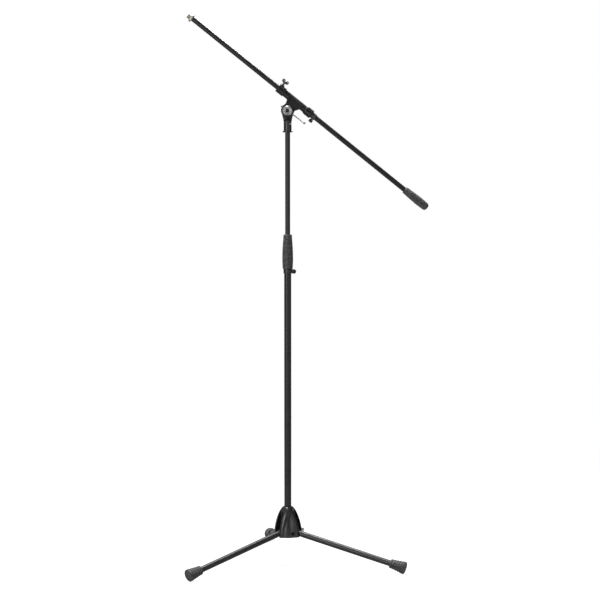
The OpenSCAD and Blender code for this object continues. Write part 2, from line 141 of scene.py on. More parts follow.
def soften(outline, radius):
    """Rounds the corners of an open outline of (r, z) points.

    A support point beside each arc keeps the smooth shading off the flat faces.
    """
    out = [outline[0]]
    for before, here, after in zip(outline, outline[1:], outline[2:]):
        b, h, a = (np.array(p, float) for p in (before, here, after))
        to_b, to_a = b - h, a - h
        len_b, len_a = np.linalg.norm(to_b), np.linalg.norm(to_a)
        to_b, to_a = to_b / len_b, to_a / len_a
        half = math.acos(max(-1.0, min(1.0, float(to_b @ to_a)))) / 2
        if half > NEARLY_STRAIGHT:
            out.append(tuple(h))
            continue
        run = min(radius / math.tan(half), ARC_SHARE * len_b, ARC_SHARE * len_a)
        arc_r = run * math.tan(half)
        centre = h + (to_b + to_a) / np.linalg.norm(to_b + to_a) * (arc_r / math.sin(half))
        start, end = h + to_b * run - centre, h + to_a * run - centre
        sweep = math.pi - 2 * half
        out.append(tuple(h + to_b * min(run * SUPPORT, SUPPORT_SHARE * len_b)))
        for k in range(ARC_STEPS + 1):
            t = k / ARC_STEPS
            mix = (math.sin((1 - t) * sweep) * start + math.sin(t * sweep) * end) / math.sin(sweep)
            out.append(tuple(centre + mix))
        out.append(tuple(h + to_a * min(run * SUPPORT, SUPPORT_SHARE * len_a)))
    out.append(outline[-1])
    return out


ON_AXIS = 1e-6


def lathe(name, outline, m, segments, shift=None, closed=False):
    """Turns an outline of (r, z) about the frame's z axis.

    shift(angles, r, z) moves points in or out. closed joins the last ring to the first.
    """
    rings, faces, points = [], [], []
    angles = np.arange(segments) * 2 * math.pi / segments
    for r, z in outline:
        if r < ON_AXIS:
            rings.append([len(points)])
            points.append((0.0, 0.0, z))
            continue
        radii = np.full(segments, float(r))
        if shift is not None:
            radii = radii + shift(angles, r, z)
        rings.append(list(range(len(points), len(points) + segments)))
        points.extend(zip(radii * np.cos(angles), radii * np.sin(angles), np.full(segments, z)))
    pairs = list(zip(rings, rings[1:])) + ([(rings[-1], rings[0])] if closed else [])
    for low, high in pairs:
        for k in range(segments):
            n = (k + 1) % segments
            if len(low) == 1 and len(high) == 1:
                continue
            if len(low) == 1:
                faces.append((low[0], high[n], high[k]))
            elif len(high) == 1:
                faces.append((low[k], low[n], high[0]))
            else:
                faces.append((low[k], low[n], high[n], high[k]))
    return new_mesh(name, points, faces, m)


RING_SEGMENTS = 96


def closed_ring(name, r_out, r_in, z0, z1, m, radius):
    """A tube or ring with rounded rims."""
    mid = (z0 + z1) / 2
    outline = [(r_in, mid), (r_in, z0), (r_out, z0), (r_out, z1), (r_in, z1), (r_in, mid)]
    return lathe(name, soften(outline, radius)[:-1], m, RING_SEGMENTS, closed=True)


FLUTE_EASE = 0.8  # the height over which a groove runs out


def fluted(count, depth, z0, z1):
    """A shift that cuts grooves round a lathed piece between two heights."""
    def shift(angles, _, z):
        ends = min(max((z - z0) / FLUTE_EASE, 0), 1) * min(max((z1 - z) / FLUTE_EASE, 0), 1)
        return -depth * ends * (0.5 - 0.5 * np.cos(count * angles))
    return shift


# ---------------------------------------------------------------- distance fields, for cast shapes

def join(a, b, k):
    """Union with a fillet about k wide."""
    h = np.clip(0.5 + 0.5 * (b - a) / k, 0, 1)
    return b * (1 - h) + a * h - k * h * (1 - h)


def keep(a, b, k):
    """Intersection with an edge rounded about k wide."""
    return -join(-a, -b, k)


def cut(a, b, k):
    """a with b taken away, the edge rounded about k wide."""
    return keep(a, -b, k)


def rod(u, v, w, r, w0, w1, edge=0.6):
    """A capped cylinder along w with rounded rims."""
    d = np.hypot(u, v) - (r - edge)
    h = np.abs(w - (w0 + w1) / 2) - ((w1 - w0) / 2 - edge)
    return np.minimum(np.maximum(d, h), 0) + np.hypot(np.maximum(d, 0), np.maximum(h, 0)) - edge


def hexagon(u, v, r):
    """Distance to a hexagon whose corners are r from its centre."""
    flat = r * math.cos(math.pi / 6)
    sides = [math.cos(k * math.pi / 3) * u + math.sin(k * math.pi / 3) * v for k in range(6)]
    return np.max(sides, axis=0) - flat


PULLS = 3  # how often skin() draws its points towards the surface
LEAST_SLOPE = 0.2  # the squared slope is taken as at least this, so no point is thrown far


def skin(name, field, low, high, step, m):
    """The surface where field(x, y, z) is zero, as quads with their points drawn on to it.

    low and high are the corners of the grid it is looked for in, and step the grid's spacing.
    """
    low, high = np.array(low, float), np.array(high, float)
    counts = np.ceil((high - low) / step).astype(int) + 1
    grid = [low[k] + step * np.arange(counts[k]) for k in range(3)]
    values = field(*np.meshgrid(*grid, indexing="ij"))
    inside = values < 0
    corners = [(i, j, k) for i in (0, 1) for j in (0, 1) for k in (0, 1)]
    size = np.array(values.shape) - 1
    tally = sum(inside[i:i + size[0], j:j + size[1], k:k + size[2]].astype(int)
                for i, j, k in corners)
    cells = np.argwhere((tally > 0) & (tally < 8))
    index = -np.ones(size, int)
    index[tuple(cells.T)] = np.arange(len(cells))
    total, hits = np.zeros((len(cells), 3)), np.zeros(len(cells))
    for axis in range(3):
        for corner in corners:
            if corner[axis]:
                continue
            start = cells + corner
            end = start + np.eye(3, dtype=int)[axis]
            a, b = values[tuple(start.T)], values[tuple(end.T)]
            crossed = (a < 0) != (b < 0)
            part = np.where(crossed, a / np.where(crossed, a - b, 1), 0)
            offset = np.array(corner, float) + part[:, None] * np.eye(3)[axis]
            total += offset * crossed[:, None]
            hits += crossed
    points = low + step * (cells + total / hits[:, None])
    probe = step / 8
    for _ in range(PULLS):
        here = field(*points.T)
        slope = np.stack([(field(*(points + probe * e).T) - here) / probe for e in np.eye(3)], 1)
        pull = here / np.maximum((slope ** 2).sum(1), LEAST_SLOPE)
        points -= np.clip(pull, -step / 3, step / 3)[:, None] * slope
    faces = []
    for axis in range(3):
        u, v = (axis + 1) % 3, (axis + 2) % 3
        a = np.take(inside, range(size[axis]), axis)
        b = np.take(inside, range(1, size[axis] + 1), axis)
        edges = np.argwhere(a != b)
        inner = (edges[:, u] > 0) & (edges[:, v] > 0)
        inner &= (edges[:, u] < size[u]) & (edges[:, v] < size[v])
        edges = edges[inner]
        quad = []
        for du, dv in ((0, 0), (1, 0), (1, 1), (0, 1)):
            cell = edges.copy()
            cell[:, u] -= du
            cell[:, v] -= dv
            quad.append(index[tuple(cell.T)])
        quad = np.stack(quad, 1)
        outward = a[tuple(edges.T)]
        quad[~outward] = quad[~outward][:, ::-1]
        faces.append(quad)
    return new_mesh(name, points, np.concatenate(faces).tolist(), m)


# ---------------------------------------------------------------- materials

def colour(rgb):
    return (*rgb, 1.0)


class Shader:
    """A Principled material with a few helpers for its node tree."""

    def __init__(self, name, base, rough, metal=0.0, **sockets):
        self.material = bpy.data.materials.new(name)
        self.material.use_nodes = True
        self.tree = self.material.node_tree
        self.main = self.tree.nodes["Principled BSDF"]
        self.main.inputs["Base Color"].default_value = colour(base)
        self.main.inputs["Roughness"].default_value = rough
        self.main.inputs["Metallic"].default_value = metal
        for socket, value in sockets.items():
            self.main.inputs[socket.replace("_", " ")].default_value = value
        self.coords = self.node("ShaderNodeTexCoord").outputs["Object"]

    def node(self, kind, **values):
        made = self.tree.nodes.new(kind)
        for key, value in values.items():
            if key in made.inputs:
                made.inputs[key].default_value = value
            else:
                setattr(made, key, value)
        return made

    def link(self, a, b):
        self.tree.links.new(a, b)

    def noise(self, scale, detail=3.0, rough=0.55, stretch=None):
        made = self.node("ShaderNodeTexNoise", Scale=scale, Detail=detail, Roughness=rough)
        source = self.coords
        if stretch is not None:
            mapping = self.node("ShaderNodeMapping", Scale=stretch)
            self.link(source, mapping.inputs["Vector"])
            source = mapping.outputs["Vector"]
        self.link(source, made.inputs["Vector"])
        return made.outputs["Fac"]

    def span(self, source, from_low, from_high, to_low, to_high):
        ends = {"From Min": from_low, "From Max": from_high, "To Min": to_low, "To Max": to_high}
        made = self.node("ShaderNodeMapRange", **ends)
        self.link(source, made.inputs["Value"])
        return made.outputs["Result"]

    def tint(self, source, dark, light, low=0.35, high=0.65):
        """Colour between two tones, from the noise between low and high."""
        ramp = self.node("ShaderNodeValToRGB")
        ramp.color_ramp.elements[0].position = low
        ramp.color_ramp.elements[0].color = colour(dark)
        ramp.color_ramp.elements[1].position = high
        ramp.color_ramp.elements[1].color = colour(light)
        self.link(source, ramp.inputs["Fac"])
        self.link(ramp.outputs["Color"], self.main.inputs["Base Color"])

    def rough(self, source, low, high):
        """Roughness between two values, from the middle of the noise's range."""
        self.link(self.span(source, 0.3, 0.7, low, high), self.main.inputs["Roughness"])

    def bump(self, source, depth, strength):
        """Relief of that depth in metres."""
        made = self.node("ShaderNodeBump", Strength=strength, Distance=depth)
        self.link(source, made.inputs["Height"])
        self.link(made.outputs["Normal"], self.main.inputs["Normal"])


def shade(base, factor):
    """A colour times a factor, no channel above 1."""
    return [min(1, factor * c) for c in base]


def powder_coat(name, base, rough):
    """Satin powder coat: fine orange peel, with handling smudges in the sheen."""
    s = Shader(name, base, rough, Specular_IOR_Level=0.32)
    fine, broad = s.noise(1500, 2), s.noise(28, 4)
    s.tint(broad, shade(base, 0.86), shade(base, 1.16))
    s.rough(broad, rough - 0.05, rough + 0.08)
    s.bump(fine, 0.00005, 0.35)
    return s.material


def enamel(name, base):
    """Enamel over a casting: soft wide highlights with a few dull patches."""
    s = Shader(name, base, 0.32, Specular_IOR_Level=0.85)
    broad, fine = s.noise(40, 3), s.noise(1200, 2)
    s.tint(broad, shade(base, 0.8), shade(base, 1.25))
    s.rough(broad, 0.29, 0.37)
    s.bump(fine, 0.00002, 0.2)
    return s.material


def moulded(name, base, rough):
    """Moulded plastic: spark-eroded grain and slight mottling."""
    s = Shader(name, base, rough)
    fine, broad = s.noise(900, 3, 0.6), s.noise(60, 4)
    s.tint(broad, shade(base, 0.85), shade(base, 1.2))
    s.rough(broad, rough - 0.05, rough + 0.07)
    s.bump(fine, 0.00008, 0.5)
    return s.material


def rubber(name, base, rough=0.62):
    """Matt rubber: fine pores, a dusty bloom and slight colour drift."""
    s = Shader(name, base, rough, Sheen_Weight=0.12, Sheen_Roughness=0.5)
    pores, bloom = s.noise(1900, 4, 0.7), s.noise(190, 3, 0.7)
    s.tint(bloom, shade(base, 0.6), shade(base, 2.6), 0.42, 0.66)
    s.rough(bloom, rough - 0.07, rough + 0.12)
    s.bump(pores, 0.0001, 0.6)
    return s.material


def plated(name, base, rough, smear=0.08):
    """Plated metal with faint finger marks in the sheen."""
    s = Shader(name, base, rough, 1.0)
    marks = s.noise(90, 4, 0.5)
    s.tint(marks, shade(base, 0.94), shade(base, 1.04))
    s.rough(marks, rough, rough + smear)
    return s.material


def steel(name, base, rough):
    """Zinc-plated or turned steel: faint spangle and tool marks."""
    s = Shader(name, base, rough, 1.0)
    spangle, lines = s.noise(300, 4, 0.7), s.noise(900, 2, 0.5, (1, 1, 10))
    s.tint(spangle, shade(base, 0.75), shade(base, 1.1))
    s.rough(spangle, rough - 0.06, rough + 0.12)
    s.bump(lines, 0.000008, 0.4)
    return s.material


MATERIALS = {
    "gloss_cast": enamel("gloss_cast", (0.008, 0.0065, 0.0075)),
    "black_plastic": moulded("black_plastic", (0.018, 0.0175, 0.0175), 0.38),
    "black_steel": powder_coat("black_steel", (0.024, 0.0215, 0.0215), 0.34),
    "boom_black": powder_coat("boom_black", (0.018, 0.017, 0.017), 0.34),
    "black_cast": powder_coat("black_cast", (0.016, 0.0155, 0.0165), 0.32),
    "grey_ring": moulded("grey_ring", (0.04, 0.04, 0.041), 0.45),
    "foot_rubber": rubber("foot_rubber", (0.028, 0.027, 0.027)),
    "grip_rubber": rubber("grip_rubber", (0.040, 0.038, 0.038), 0.5),
    "zinc_steel": steel("zinc_steel", (0.30, 0.295, 0.28), 0.42),
    "black_screw": powder_coat("black_screw", (0.02, 0.02, 0.02), 0.3),
    "chrome": plated("chrome", (0.74, 0.70, 0.70), 0.27, 0.06),
    "dark_chrome": plated("dark_chrome", (0.16, 0.15, 0.155), 0.36),
    "nylon": moulded("nylon", (0.62, 0.6, 0.54), 0.5),
    "fibre": rubber("fibre", (0.22, 0.13, 0.07), 0.7),
    "brass": plated("brass", (0.72, 0.64, 0.46), 0.2),
    "thread_nickel": plated("thread_nickel", (0.5, 0.47, 0.41), 0.42),
}
BODY_OF = {n: b for b, members in frame["record"]["behaviour"]["bodies"].items() for n in members}
SLOT_OF = {s["node"]: s["material_slot"] for s in frame["record"]["subparts"]}


def paint(obj, slot):
    obj.data.materials.clear()
    obj.data.materials.append(MATERIALS[slot])


def stands_for(obj, node, slot=None):
    """obj takes the place, body and finish of a CAD node."""
    paint(obj, slot or SLOT_OF[node])
    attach(obj, BODY_OF[node])
    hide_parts(node)


for node_name, node_object in NODES.items():
    paint(node_object, SLOT_OF[node_name])


# ---------------------------------------------------------------- tubes and rings

BOOM_Z = turned_frame(ROLL, joint_axis("boom_slide"))
PIVOT_Z = turned_frame(PIVOT, -joint_axis("boom_tilt"))
LEG_Z = {i: turned_frame(joint_at(f"leg_{i}_fold"), leg_frame(i).to_3x3() @ Vector((1, 0, 0)))
         for i in LEGS}
LOCK_Z = turned_frame(joint_at("base_lock_turn"), joint_axis("base_lock_turn"))
COLLAR_Z = turned_frame(joint_at("collar_knob_turn"), joint_axis("collar_knob_turn"))
REAR_Z = turned_frame(joint_at("rear_knob_turn"), joint_axis("rear_knob_turn"))
WALL, TUBE_EDGE = 1.2, 0.35
HUB_RING_R, STOP_RING_R, END_RING_R = 11.8, 14, 8.9


def reach(node, m):
    """Lowest and highest reach of a CAD node along the frame's z axis."""
    return along(node, m, 2)


def ring_for(name, node, m, r_out, r_in, radius):
    """A ring in place of a CAD node, over the node's own length."""
    z0, z1 = reach(node, m)
    stands_for(closed_ring(name, r_out, r_in, z0, z1, m, radius), node)


def tube(name, node, m, r):
    ring_for(name, node, m, r, r - WALL, TUBE_EDGE)


tube("post_lower", "lower_tube", POST, POST_R)
tube("post_upper", "upper_tube", POST, MAST_R)
tube("boom_arm", "boom_tube", BOOM_Z, BOOM_R)
for leg in LEGS:
    tube(f"leg_arm_{leg}", f"leg_tube_{leg}", LEG_Z[leg], LEG_R)
ring_for("hub_collar", "hub_top_ring", POST, HUB_RING_R, POST_R, 0.7)
ring_for("mast_flange", "stop_ring", POST, STOP_RING_R, MAST_R, 0.9)


# ---------------------------------------------------------------- feet

FOOT_RIBS, RIB_STEP = 5, 1.2
FOOT_NECK, FOOT_FLARE = 11.5, 1.2
TREAD = 6  # the plain length beyond the last rib
# The CAD mesh's facets fall about this far inside a true circle. A rounder piece gives it back, and
# so stays in the CAD box.
INSET = 0.08


def boot_radius(leg, m):
    """Largest radius of a CAD foot, less the inset."""
    inv = m.inverted()
    far = max(math.hypot(*(inv @ v.co).xy) for v in NODES[f"foot_{leg}"].data.vertices)
    return far / MM - INSET


def foot(leg):
    """A flared rubber boot whose ribs step out towards the floor end."""
    m = LEG_Z[leg]
    z0, z1 = reach(f"foot_{leg}", m)
    r_end = boot_radius(leg, m)
    pitch = (z1 - z0 - TREAD) / FOOT_RIBS
    widening = r_end - 1.4 - FOOT_NECK
    flare = [FOOT_NECK + widening * (i / FOOT_RIBS) ** FOOT_FLARE for i in range(FOOT_RIBS + 1)]
    outline = [(LEG_R, z0 + 4), (LEG_R, z0)]
    for i in range(FOOT_RIBS):
        z = z0 + i * pitch
        outline += [(flare[i], z), (flare[i] + RIB_STEP, z + 0.8),
                    (flare[i + 1] + RIB_STEP, z + pitch - 2.4),
                    (flare[i + 1] - 0.3, z + pitch - 1.6)]
    sole = z1 - 0.9
    outline += [(r_end, z1 - 6.6), (r_end, z1 - 1.2), (r_end - 1.2, z1), (r_end - 5, z1),
                (r_end - 6.2, sole), (0, sole)]
    boot = lathe(f"boot_{leg}", soften(outline, 0.55), m, RING_SEGMENTS)
    stands_for(boot, f"foot_{leg}")


for leg in LEGS:
    foot(leg)


# ---------------------------------------------------------------- hub

HUB_LOW, HUB_TOP = reach("hub_housing", POST)
HUB_R, HUB_LOBE_R, HUB_TOP_R = 37, 40.5, 12.8
HUB_REACH = 42  # half the width of the grid that the hub is built on
BELL_SHAPE, BELL_POWER = 1.9, 0.72
LOBE_HALF = 19
SLOT_HALF, SLOT_IN = LEG_R + 0.7, 17.1  # the slot a leg swings in
PIN_HEAD_R, PIN_HEAD_IN = 4.4, 15  # the sink for a leg bolt's head
MOUTH_DEEP = 5  # the seat of the trim ring
POST_STOP = 21  # the post's bore stops this far above the hub's foot
WELL_R, WELL_DEEP = 8.3, 9  # the base bolt's washer
GROOVE_IN, GROOVE_OUT, GROOVE_DEEP = 12.6, 18.1, 22  # the lock ring
TAPPED_R, TAPPED_IN = 3.1, 15  # the lock screw's hole
FAR = 1e3
PIVOT_R = math.hypot(LEG_PIN.x, LEG_PIN.y) / MM
PIN_Z = LEG_PIN.z / MM


def bell(rho, z, base_r, top_r):
    """Distance to the bell: steep at its foot and curving in to the tube."""
    t = np.clip((z - HUB_LOW) / (HUB_TOP - HUB_LOW), 0, 1)
    r = top_r + (base_r - top_r) * np.maximum(1 - t ** BELL_SHAPE, 0) ** BELL_POWER
    slope = (base_r - top_r) * BELL_POWER * BELL_SHAPE * t ** 0.9
    slope = slope / np.maximum(1 - t ** BELL_SHAPE, 0.02) ** (1 - BELL_POWER)
    slope = slope / (HUB_TOP - HUB_LOW)
    return (rho - r) / np.sqrt(1 + slope ** 2)


def hub_field(x, y, z):
    """A bell with a lobe over each leg, and the hollows for the legs, post, bolts and screws."""
    rho = np.hypot(x, y)
    body = bell(rho, z, HUB_R, HUB_TOP_R)
    lobes = bell(rho, z, HUB_LOBE_R, HUB_TOP_R - 1.5)
    bars = np.full_like(rho, FAR)
    cuts = np.full_like(rho, FAR)
    for leg in LEGS:
        c, s = math.cos(LEG_DIR[leg]), math.sin(LEG_DIR[leg])
        u, v = c * x + s * y, -s * x + c * y
        bars = np.minimum(bars, np.maximum(np.abs(v) - LOBE_HALF, -u))
        slot = keep(np.abs(v) - SLOT_HALF, SLOT_IN - u, 1.2)
        pin_u, pin_w = u - PIVOT_R, z - PIN_Z
        head = np.maximum(np.hypot(pin_u, pin_w) - PIN_HEAD_R, v + PIN_HEAD_IN)
        cuts = np.minimum(cuts, np.minimum(slot, head))
    body = join(body, keep(lobes, bars, 3.0), 3.5)
    body = keep(body, HUB_LOW - z, 2.2)
    body = keep(body, z - HUB_TOP, 1.2)
    body = cut(body, cuts, 1.1)
    mouth = np.maximum(rho - HUB_RING_R, HUB_TOP - MOUTH_DEEP - z)
    bore = np.maximum(rho - POST_R, HUB_LOW + POST_STOP - z)
    under = np.maximum(rho - WELL_R, z - HUB_LOW - WELL_DEEP)
    groove = np.maximum(np.maximum(rho - GROOVE_OUT, GROOVE_IN - rho), z - HUB_LOW - GROOVE_DEEP)
    c, s = joint_axis("base_lock_turn").xy
    across, up = -s * x + c * y, z - joint_at("base_lock_turn").z / MM
    tapped = np.maximum(np.hypot(across, up) - TAPPED_R, TAPPED_IN - (c * x + s * y))
    for hollow in (mouth, bore, under, groove, tapped):
        body = cut(body, hollow, 0.5)
    return body


hub = skin("hub_shell", hub_field, (-HUB_REACH, -HUB_REACH, HUB_LOW - 1),
           (HUB_REACH, HUB_REACH, HUB_TOP + 1), 0.9, POST)
stands_for(hub, "hub_housing")


# ---------------------------------------------------------------- base lock and knobs

KNOB_FLUTES, KNOB_CROWN = 12, 1.2


def knob(name, node, m, r, depth):
    """A fluted knob with a crowned end, over its CAD length."""
    z0, z1 = reach(node, m)
    outline = [(0, z0), (0.62 * r, z0), (0.66 * r, z0 + 1.2), (r, z0 + 2), (r, z1 - KNOB_CROWN),
               (r - KNOB_CROWN, z1 - 0.2), (0.55 * r, z1), (0.5 * r, z1 - 0.5), (0, z1 - 0.5)]
    shift = fluted(KNOB_FLUTES, depth, z0 + 1.6, z1 - 0.4)
    stands_for(lathe(name, soften(outline, 0.5), m, 120, shift), node)


def lock_knob():
    """Zinc end of the base lock: a shank with a fluted head."""
    z0, z1 = reach("lock_knob", LOCK_Z)
    shank_r, head_r, head = 4.6, 6, z0 + 5
    outline = [(0, z0), (shank_r, z0), (shank_r, head), (head_r, head), (head_r, z1), (0, z1)]
    shift = fluted(14, 0.5, z0 + 5.4, z1 - 0.6)
    stands_for(lathe("lock_grip", soften(outline, 0.7), LOCK_Z, 112, shift), "lock_knob")


lock_knob()
knob("collar_grip", "collar_knob", COLLAR_Z, 6.2, 0.55)
knob("rear_grip", "rear_knob", REAR_Z, 5.6, 0.5)


# ---------------------------------------------------------------- clutch

COLLAR_LOW, COLLAR_TOP = reach("clutch_collar", POST)
KNOB_Z = joint_at("collar_knob_turn").z / MM
COLLAR_R, COLLAR_BOSS_R, COLLAR_STUD_R = 12, 5, 2.1


def collar_field(x, y, z):
    """A ring round the post with a boss for the knob's stud."""
    c, s = joint_axis("collar_knob_turn").xy
    out, across = c * x + s * y, -s * x + c * y
    ring = rod(x, y, z, COLLAR_R, COLLAR_LOW, COLLAR_TOP, 0.8)
    boss = rod(across, z - KNOB_Z, out, COLLAR_BOSS_R, 4, 15, 0.5)
    body = cut(join(ring, boss, 2.4), np.hypot(x, y) - POST_R, 0.4)
    return cut(body, np.hypot(across, z - KNOB_Z) - COLLAR_STUD_R, 0.3)


collar = skin("clutch_clamp", collar_field, (-13, -16, COLLAR_LOW - 1),
              (16, 13, COLLAR_TOP + 1), 0.5, POST)
stands_for(collar, "clutch_collar")


RELIEF_SEGMENTS, RELIEF_STEP = 240, 0.55
PLAIN_START, PLAIN_END, PLAIN_EASE = 3, 5, 2  # the ends of a grip without pips
PIP_FLAT = 1.6  # above 1, a pip has a flat top


def band(faces, low, high):
    """Adds the quads between two rings of a grip, each given by its first point."""
    for i in range(RELIEF_SEGMENTS):
        n = (i + 1) % RELIEF_SEGMENTS
        faces.append((low + i, low + n, high + n, high + i))


def relief(name, node, m, profile, z0, z1, bore, rows, count, height, spot):
    """A rubber grip with staggered pips, over a smooth profile of radius against height.

    bore is the (r, z) outline of the hole through it, from the bottom up. rows and count say how
    many rows of pips there are and how many pips in a row; height and spot are a pip's own.
    """
    segments, levels = RELIEF_SEGMENTS, int((z1 - z0) / RELIEF_STEP)
    angles = np.arange(segments) * 2 * math.pi / segments
    heights = np.linspace(z0, z1, levels)
    pitch = (z1 - z0) / rows
    points = []
    for z in heights:
        r = profile(z)
        row = np.round((z - z0) / pitch - 0.5)
        dz = z - z0 - (row + 0.5) * pitch
        step = 2 * math.pi / count
        da = (angles + (row % 2) * step / 2 + step / 2) % step - step / 2
        far = np.hypot(dz, da * r) / spot
        ends = min(1, max(0, (z - z0 - PLAIN_START) / PLAIN_EASE))
        ends = ends * min(1, max(0, (z1 - PLAIN_END - z) / PLAIN_EASE))
        lift = height * ends * np.clip(PIP_FLAT * (1 - far), 0, 1)
        lift = lift * lift * (3 - 2 * lift / height) / height
        rr = r - height * ends + lift
        points.extend(zip(rr * np.cos(angles), rr * np.sin(angles), np.full(segments, z)))
    faces = []
    for k in range(levels - 1):
        band(faces, k * segments, (k + 1) * segments)
    inner = [len(points) + k * segments for k in range(len(bore))]
    rings = [0, *inner, (levels - 1) * segments]
    for r, z in bore:
        points.extend(zip(r * np.cos(angles), r * np.sin(angles), np.full(segments, z)))
    for a, b in zip(rings, rings[1:]):
        band(faces, b, a)
    stands_for(new_mesh(name, points, faces, m), node)


def smooth_profile(knots):
    """Radius against height through a few knots, with soft slopes."""
    z = np.array([k[1] for k in knots], float)
    r = np.array([k[0] for k in knots], float)
    slope = np.gradient(r, z)

    def value(at):
        i = int(np.clip(np.searchsorted(z, at) - 1, 0, len(z) - 2))
        h = z[i + 1] - z[i]
        t = min(max((at - z[i]) / h, 0), 1)
        return float((2 * t ** 3 - 3 * t ** 2 + 1) * r[i] + (t ** 3 - 2 * t ** 2 + t) * h * slope[i]
                     + (3 * t ** 2 - 2 * t ** 3) * r[i + 1] + (t ** 3 - t ** 2) * h * slope[i + 1])
    return value


GRIP_LOW, GRIP_TOP = reach("clutch_grip", POST)
GRIP_KNOTS = [(13.8, 0), (14.3, 2), (14.9, 11), (15.5, 25), (15.3, 40), (15, 51), (14.3, 64),
              (13.6, 74), (12.8, 84), (12.2, 91), (11.6, 95), (10.8, 96)]
CLUTCH_R, CLUTCH_TOP = 11.6, GRIP_LOW + 93
GRIP_BORE = [(CLUTCH_R, GRIP_LOW), (CLUTCH_R, CLUTCH_TOP), (MAST_R + 0.5, CLUTCH_TOP),
             (MAST_R + 0.5, GRIP_TOP)]
relief("clutch_rubber", "clutch_grip", POST,
       smooth_profile([(r, GRIP_LOW + z) for r, z in GRIP_KNOTS]),
       GRIP_LOW, GRIP_TOP, GRIP_BORE, rows=20, count=16, height=0.6, spot=2.1)


# ---------------------------------------------------------------- mast socket and tilt joint

SOCKET_LOW = reach("mast_socket", POST)[0]
PIVOT_Z_MM = PIVOT.z / MM
SOCKET_R, TONGUE_R, TONGUE_ROOT, TONGUE_HALF = 11, 17.5, 30, 5
EAR_IN, EAR_OUT, DISC_R = 6.4, 11.4, 18.5
PIN_BORE = 4.1
CONE_DROP, CONE_TALL = 29, 8  # below the pivot, and its height
CONE_NORM = 1.118  # the length of a slope of one in two
MAST_STOP = 33


def tongue(u, v, extra):
    """Side outline of the tongue: a disc with straight tangents down to the socket."""
    r, w = TONGUE_R + extra, SOCKET_R + extra
    a = math.atan2(-TONGUE_ROOT, w) + math.acos(r / math.hypot(w, TONGUE_ROOT))
    sides = np.abs(u) * math.cos(a) + v * math.sin(a) - r
    web = np.maximum(np.maximum(sides, v - r * math.sin(a)), -TONGUE_ROOT - v)
    return np.minimum(np.hypot(u, v) - r, web)


def socket_field(x, y, z):
    """A barrel for the upper tube, a cone, and the tongue that the bracket's ears hold."""
    rho = np.hypot(x, y)
    cone_low = PIVOT_Z_MM - CONE_DROP
    barrel = rod(x, y, z, SOCKET_R, SOCKET_LOW, cone_low + 1, 0.5)
    cone = np.maximum((rho - SOCKET_R + (z - cone_low) / 2) / CONE_NORM,
                      np.maximum(cone_low - z, z - cone_low - CONE_TALL))
    plate = keep(tongue(x, z - PIVOT_Z_MM, 0), np.abs(y) - TONGUE_HALF, 1.0)
    body = join(join(barrel, cone, 1.0), plate, 3.0)
    body = np.maximum(body, rho - SOCKET_R - np.clip((z - cone_low + 0.5) * 2, 0, 40))
    body = cut(body, np.maximum(rho - MAST_R, z - PIVOT_Z_MM + MAST_STOP), 0.4)
    return cut(body, np.hypot(x, z - PIVOT_Z_MM) - PIN_BORE, 0.4)


socket = skin("mast_head", socket_field, (-19, -12, SOCKET_LOW - 1),
              (19, 12, PIVOT_Z_MM + 19), 0.6, POST)
stands_for(socket, "mast_socket")


def socket_screw():
    """Cap screw in the side of the socket, with a round recess."""
    direction = Vector((1, -1, 0)).normalized()
    m = turned_frame(Vector((0, 0, (SOCKET_LOW + 20) * MM)), direction)
    z0, z1 = reach("socket_screw", m)
    stem_r, head_r, recess_r = 2.5, 3.6, 1.9
    under_head, recess_floor = z1 - 2, z1 - 1.3
    outline = [(0, z0), (stem_r, z0), (stem_r, under_head), (head_r, under_head), (head_r, z1),
               (recess_r, z1), (recess_r, recess_floor), (0, recess_floor)]
    stands_for(lathe("socket_cap_screw", soften(outline, 0.35), m, 48), "socket_screw")


socket_screw()


def pivot_cap():
    """Chrome cap of the tilt joint: a domed face round a sunk centre, on a long shank, with a dark disc in the
    centre's well as painted shade.
    """
    z0, z1 = reach("pivot_screw", PIVOT_Z)
    shank_r, cap_r, cap_tall, lip, taper = 4, 14.6, 12, 2.4, 3.6
    face_r, dish_r, well_r = 9.6, 8.9, 5.2
    rim, dish, well = z1 - cap_tall, z1 - 0.7, z1 - 1.6
    outline = [(0, z0), (shank_r, z0), (shank_r, rim), (cap_r, rim), (cap_r, rim + lip)]
    outline += [(cap_r - taper * t ** 1.5, rim + lip + (cap_tall - lip) * t)
                for t in (0.2, 0.4, 0.6, 0.8, 1.0)]
    outline += [(face_r, z1), (dish_r, dish), (5.6, dish), (well_r, well), (0, well)]
    stands_for(lathe("pivot_cap", soften(outline, 0.6), PIVOT_Z, 144), "pivot_screw")
    # A dark disc in the sunk centre's well: painted shade, so the hole reads deep and dark.
    sunk = [(0, z1 - 1.5), (4.6, z1 - 1.5), (well_r, z1 - 1.0), (5.4, z1 - 0.65),
            (well_r, z1 - 1.55), (0, z1 - 1.55)]
    stands_for(lathe("pivot_cap_well_shade", sunk, PIVOT_Z, 96), "pivot_screw", "black_screw")


pivot_cap()


def tommy_bar():
    """Sliding bar through the cap, with a ball on each end."""
    ball, r, steps = 3.4, 1.7, 12
    place = Vector((0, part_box("tommy_bar")[0].y + ball * MM, PIVOT.z))
    m = turned_frame(place, -joint_axis("tommy_bar_slide"))
    z0, z1 = reach("tommy_bar", m)
    neck = math.asin(r / ball)
    arc = [math.pi - k * (math.pi - neck) / steps for k in range(steps + 1)]
    lower = [(ball * math.sin(a), z0 + ball + ball * math.cos(a)) for a in arc]
    upper = [(ball * math.sin(a), z1 - ball - ball * math.cos(a)) for a in reversed(arc)]
    outline = [(0, z0)] + lower[1:] + upper[:-1] + [(0, z1)]
    stands_for(lathe("tommy_rod", outline, m, 64), "tommy_bar", "zinc_steel")


tommy_bar()

NUT_LOW, NUT_HIGH = reach("pivot_nut", PIVOT_Z)
NUT_CORNER, NUT_ROUND = 8.5, 8.3


